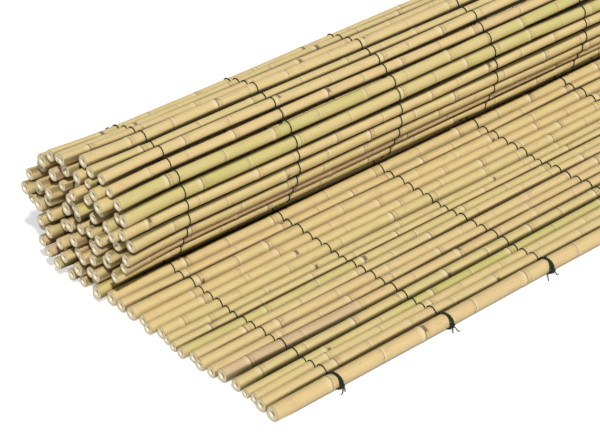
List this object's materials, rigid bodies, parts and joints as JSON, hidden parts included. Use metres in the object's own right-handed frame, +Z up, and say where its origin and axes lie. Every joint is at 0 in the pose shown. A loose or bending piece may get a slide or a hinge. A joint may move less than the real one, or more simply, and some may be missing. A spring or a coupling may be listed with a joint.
{
  "type": "bamboo screening mat",
  "caption": "Bamboo cane screening twined together in rows, lying partly unrolled with one end still wound in a roll.",
  "frame": {"origin": "centre of the footprint, on the floor", "axes": "+X along the canes, -Y towards the free edge of the flat stretch, +Y towards the roll, +Z up"},
  "size_m": [1.0158, 0.3818, 0.1488],
  "materials": {
    "bamboo": "dry, smooth cane with a low sheen",
    "twine": "matt twisted twine"
  },
  "bodies": {
    "root": {"flat_canes": "bamboo", "roll_canes_1": "bamboo", "roll_canes_2": "bamboo", "roll_canes_3": "bamboo", "roll_canes_4": "bamboo", "roll_canes_5": "bamboo", "twine_flat_1": "twine", "twine_flat_2": "twine", "twine_flat_3": "twine", "twine_flat_4": "twine", "twine_flat_5": "twine", "twine_flat_6": "twine", "twine_flat_7": "twine", "twine_roll_1": "twine", "twine_roll_2": "twine", "twine_roll_3": "twine", "twine_roll_4": "twine", "twine_roll_5": "twine", "twine_roll_6": "twine", "twine_roll_7": "twine"}
  },
  "joints": []
}
